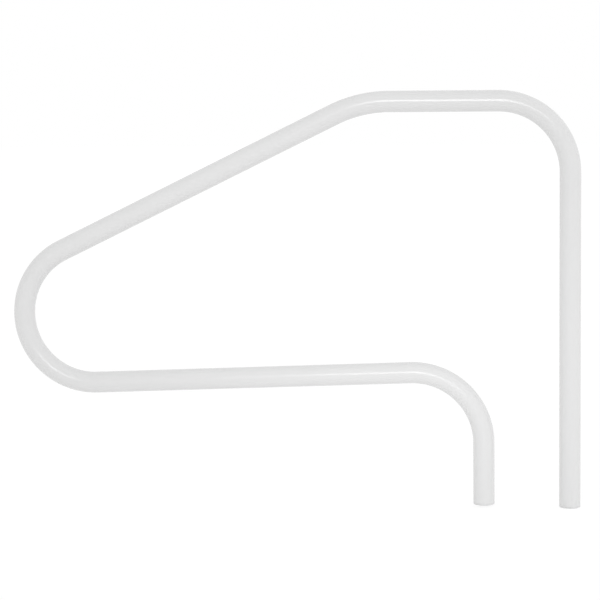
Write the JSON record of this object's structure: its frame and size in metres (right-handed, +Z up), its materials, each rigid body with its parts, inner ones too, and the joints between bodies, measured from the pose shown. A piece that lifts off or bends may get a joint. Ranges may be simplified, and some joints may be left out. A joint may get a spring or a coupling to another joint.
{
  "type": "pool stair handrail",
  "caption": "Deck-mounted pool stair handrail: one white polymer-jacketed steel tube bent into a closed grip, with sealed ends.",
  "frame": {"origin": "centre of the long leg's foot", "axes": "+Z up along both legs, -X out over the pool steps towards the nose of the rail, Y across the tube: the rail lies in the XZ plane"},
  "size_m": [1.2996, 0.0482, 0.9471],
  "materials": {
    "core_steel": "galvanised steel tube, dull",
    "jacket_polymer": "white, smooth and glossy",
    "plug_polymer": "white moulding, semi-gloss",
    "seal_rubber": "black, matt"
  },
  "bodies": {
    "root": {"core_tube": "core_steel", "polymer_jacket": "jacket_polymer", "long_leg_end_plug": "plug_polymer", "short_leg_end_plug": "plug_polymer", "long_leg_seal_ring": "seal_rubber", "short_leg_seal_ring": "seal_rubber"}
  },
  "joints": []
}
